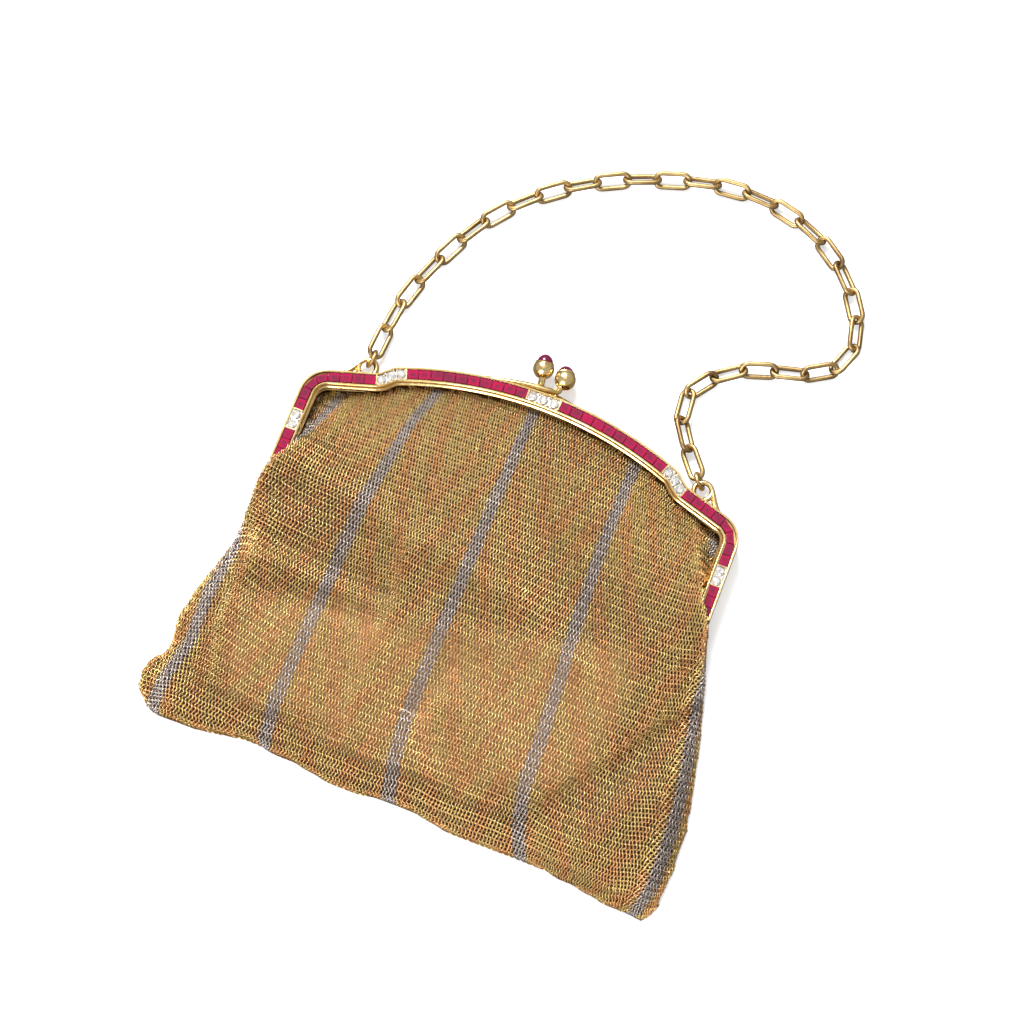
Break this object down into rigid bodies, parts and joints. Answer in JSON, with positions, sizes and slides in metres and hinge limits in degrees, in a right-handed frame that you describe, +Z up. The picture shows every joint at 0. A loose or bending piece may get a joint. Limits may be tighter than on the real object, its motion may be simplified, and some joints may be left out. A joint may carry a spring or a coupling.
{
  "type": "metal mesh purse",
  "caption": "Flat pouch of woven gold ring mesh on an arched frame set with rubies and diamonds, with a two-ball clasp and a long-link chain handle, lying on its back.",
  "frame": {"origin": "on the table, below the middle of the line between the two hinges", "axes": "+X to the right along the frame as the picture faces it, +Y up the bag towards its chain, +Z up from the table through the front of the bag"},
  "size_m": [0.1573, 0.2135, 0.0101],
  "materials": {
    "frame_gold": "polished yellow gold with fine wear",
    "chain_gold": "darker yellow gold with a dulled, handled polish",
    "ring_mesh": "fine mesh of green, rose and white gold rings",
    "ruby": "polished deep magenta red stone",
    "diamond": "polished colourless stone in white metal"
  },
  "bodies": {
    "root": {"front_jaw": "frame_gold", "back_jaw": "frame_gold", "mesh_bag": "ring_mesh", "cabochon_right": "ruby", "cabochon_left": "ruby", "hinge_left": "frame_gold", "hinge_right": "frame_gold", "diamonds_centre": "diamond", "rubies_arch_left": "ruby", "rubies_arch_right": "ruby", "diamonds_step_left": "diamond", "diamonds_step_right": "diamond", "rubies_shoulder_left": "ruby", "rubies_shoulder_right": "ruby", "diamonds_leg_left": "diamond", "diamonds_leg_right": "diamond", "rubies_leg_left": "ruby", "rubies_leg_right": "ruby", "jump_ring_left": "chain_gold", "jump_ring_right": "chain_gold", "link_01": "chain_gold", "link_02": "chain_gold", "link_03": "chain_gold", "link_04": "chain_gold", "link_05": "chain_gold", "link_06": "chain_gold", "link_07": "chain_gold", "link_08": "chain_gold", "link_09": "chain_gold", "link_10": "chain_gold", "link_11": "chain_gold", "link_12": "chain_gold", "link_13": "chain_gold", "link_14": "chain_gold", "link_15": "chain_gold", "link_16": "chain_gold", "link_17": "chain_gold", "link_18": "chain_gold", "link_19": "chain_gold", "link_20": "chain_gold", "link_21": "chain_gold", "link_22": "chain_gold", "link_23": "chain_gold", "link_24": "chain_gold", "link_25": "chain_gold", "link_26": "chain_gold", "link_27": "chain_gold", "link_28": "chain_gold", "link_29": "chain_gold", "link_30": "chain_gold", "link_31": "chain_gold"}
  },
  "joints": []
}
